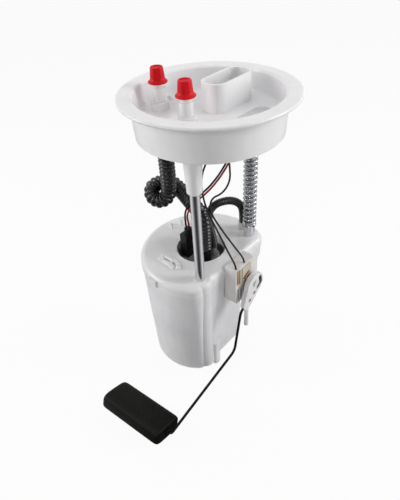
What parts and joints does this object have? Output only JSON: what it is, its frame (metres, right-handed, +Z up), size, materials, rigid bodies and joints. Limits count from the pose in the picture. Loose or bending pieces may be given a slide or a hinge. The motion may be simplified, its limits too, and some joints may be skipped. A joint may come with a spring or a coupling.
{
  "type": "fuel pump module",
  "caption": "In-tank fuel pump module: deep-dish flange with capped nozzles and socket, sprung guide rods, reservoir pot with electric pump, level sender with float.",
  "frame": {"origin": "centre of the flange's seat on the tank, on the plane of the rim's underside", "axes": "+Z up out of the tank along the skirt's axis, +X out of the pot's flat side that carries the level sender, so the float hangs towards -Y"},
  "size_m": [0.135, 0.2073, 0.2856],
  "materials": {
    "white_moulding": "satin white acetal",
    "pot_moulding": "satin white acetal, slightly translucent",
    "red_cap": "soft red transit cap",
    "rod_steel": "ground steel rod",
    "spring_steel": "oiled spring wire",
    "terminal_tin": "tinned brass",
    "black_plastic": "moulded black",
    "plate_white": "bare smooth patch",
    "hose_black": "corrugated black hose",
    "lead_black": "black sleeve",
    "lead_red": "red sleeve",
    "lead_grey": "dark grey sleeve",
    "case_steel": "drawn steel shell",
    "magnet": "sintered ferrite",
    "rotor_iron": "laminated iron and copper windings",
    "copper": "copper segments",
    "shaft_steel": "ground shaft",
    "pump_plastic": "dark moulded pump end",
    "strainer_mesh": "woven nylon mesh",
    "valve_rubber": "soft valve disc",
    "fitting_clear": "natural nylon",
    "resistor_film": "ceramic board with resistor film",
    "arm_wire": "dark plated wire",
    "float_foam": "closed-cell nitrile foam"
  },
  "bodies": {
    "flange_head": {"flange": "white_moulding", "socket_blade_1": "terminal_tin", "socket_blade_2": "terminal_tin", "socket_blade_3": "terminal_tin", "socket_blade_4": "terminal_tin", "lead_connector": "black_plastic", "floor_plate": "plate_white", "guide_rod_front": "rod_steel", "guide_rod_rear": "rod_steel", "rod_clip_front": "spring_steel", "rod_clip_rear": "spring_steel", "stub_cuff": "black_plastic", "coil_spring": "spring_steel", "supply_hose": "hose_black", "sender_lead_black": "lead_black", "sender_lead_grey": "lead_grey", "pump_lead_red": "lead_red", "pump_lead_black": "lead_black"},
    "cap_one": {"nozzle_cap_one": "red_cap"},
    "cap_two": {"nozzle_cap_two": "red_cap"},
    "reservoir": {"pot": "pot_moulding", "lid": "white_moulding", "guide_bush_front": "white_moulding", "guide_bush_rear": "rod_steel", "pump_outlet_head": "pump_plastic", "pump_case": "case_steel", "pump_inlet_cover": "pump_plastic", "pump_magnet_1": "magnet", "pump_magnet_2": "magnet", "pump_connector": "black_plastic", "pump_cradle": "black_plastic", "inlet_strainer": "strainer_mesh", "strainer_neck": "black_plastic", "foot_valve": "valve_rubber", "return_fitting": "fitting_clear", "return_hose": "hose_black", "outlet_cuff": "black_plastic", "sender_base": "white_moulding", "resistor_board": "resistor_film", "sender_terminal_1": "terminal_tin", "sender_terminal_2": "terminal_tin"},
    "rotor": {"rotor_shaft": "shaft_steel", "rotor_core": "rotor_iron", "rotor_commutator": "copper", "rotor_impeller": "pump_plastic"},
    "lever_arm": {"wiper_lever": "white_moulding", "wiper_contact": "copper", "float_arm": "arm_wire", "float_clip_inner": "black_plastic", "float_clip_outer": "black_plastic"},
    "float_block": {"float": "float_foam"}
  },
  "joints": [
    {"name": "reservoir_slide", "type": "slide", "parent": "flange_head", "child": "reservoir", "axis": [0, 0, 1], "range_m": [0, 0.05], "stiffness_N_per_m": 400, "springref_m": -0.03, "deforming": ["coil_spring", "supply_hose", "sender_lead_black", "sender_lead_grey", "pump_lead_red", "pump_lead_black"]},
    {"name": "cap_one_lift", "type": "slide", "parent": "flange_head", "child": "cap_one", "axis": [0, 0, 1], "range_m": [0, 0.03]},
    {"name": "cap_two_lift", "type": "slide", "parent": "flange_head", "child": "cap_two", "axis": [0, 0, 1], "range_m": [0, 0.03]},
    {"name": "rotor_spin", "type": "hinge", "parent": "reservoir", "child": "rotor", "pos_m": [-0.01, -0.0075, -0.2], "axis": [0, 0, 1], "continuous": true},
    {"name": "float_arm_swing", "type": "hinge", "parent": "reservoir", "child": "lever_arm", "pos_m": [0.0436, 0.002, -0.163], "axis": [-1, 0, 0], "range_deg": [0, 80]},
    {"name": "float_turn", "type": "hinge", "parent": "lever_arm", "child": "float_block", "pos_m": [0.0436, -0.1185, -0.258], "axis": [-0.9971, -0.0767, 0], "continuous": true}
  ]
}
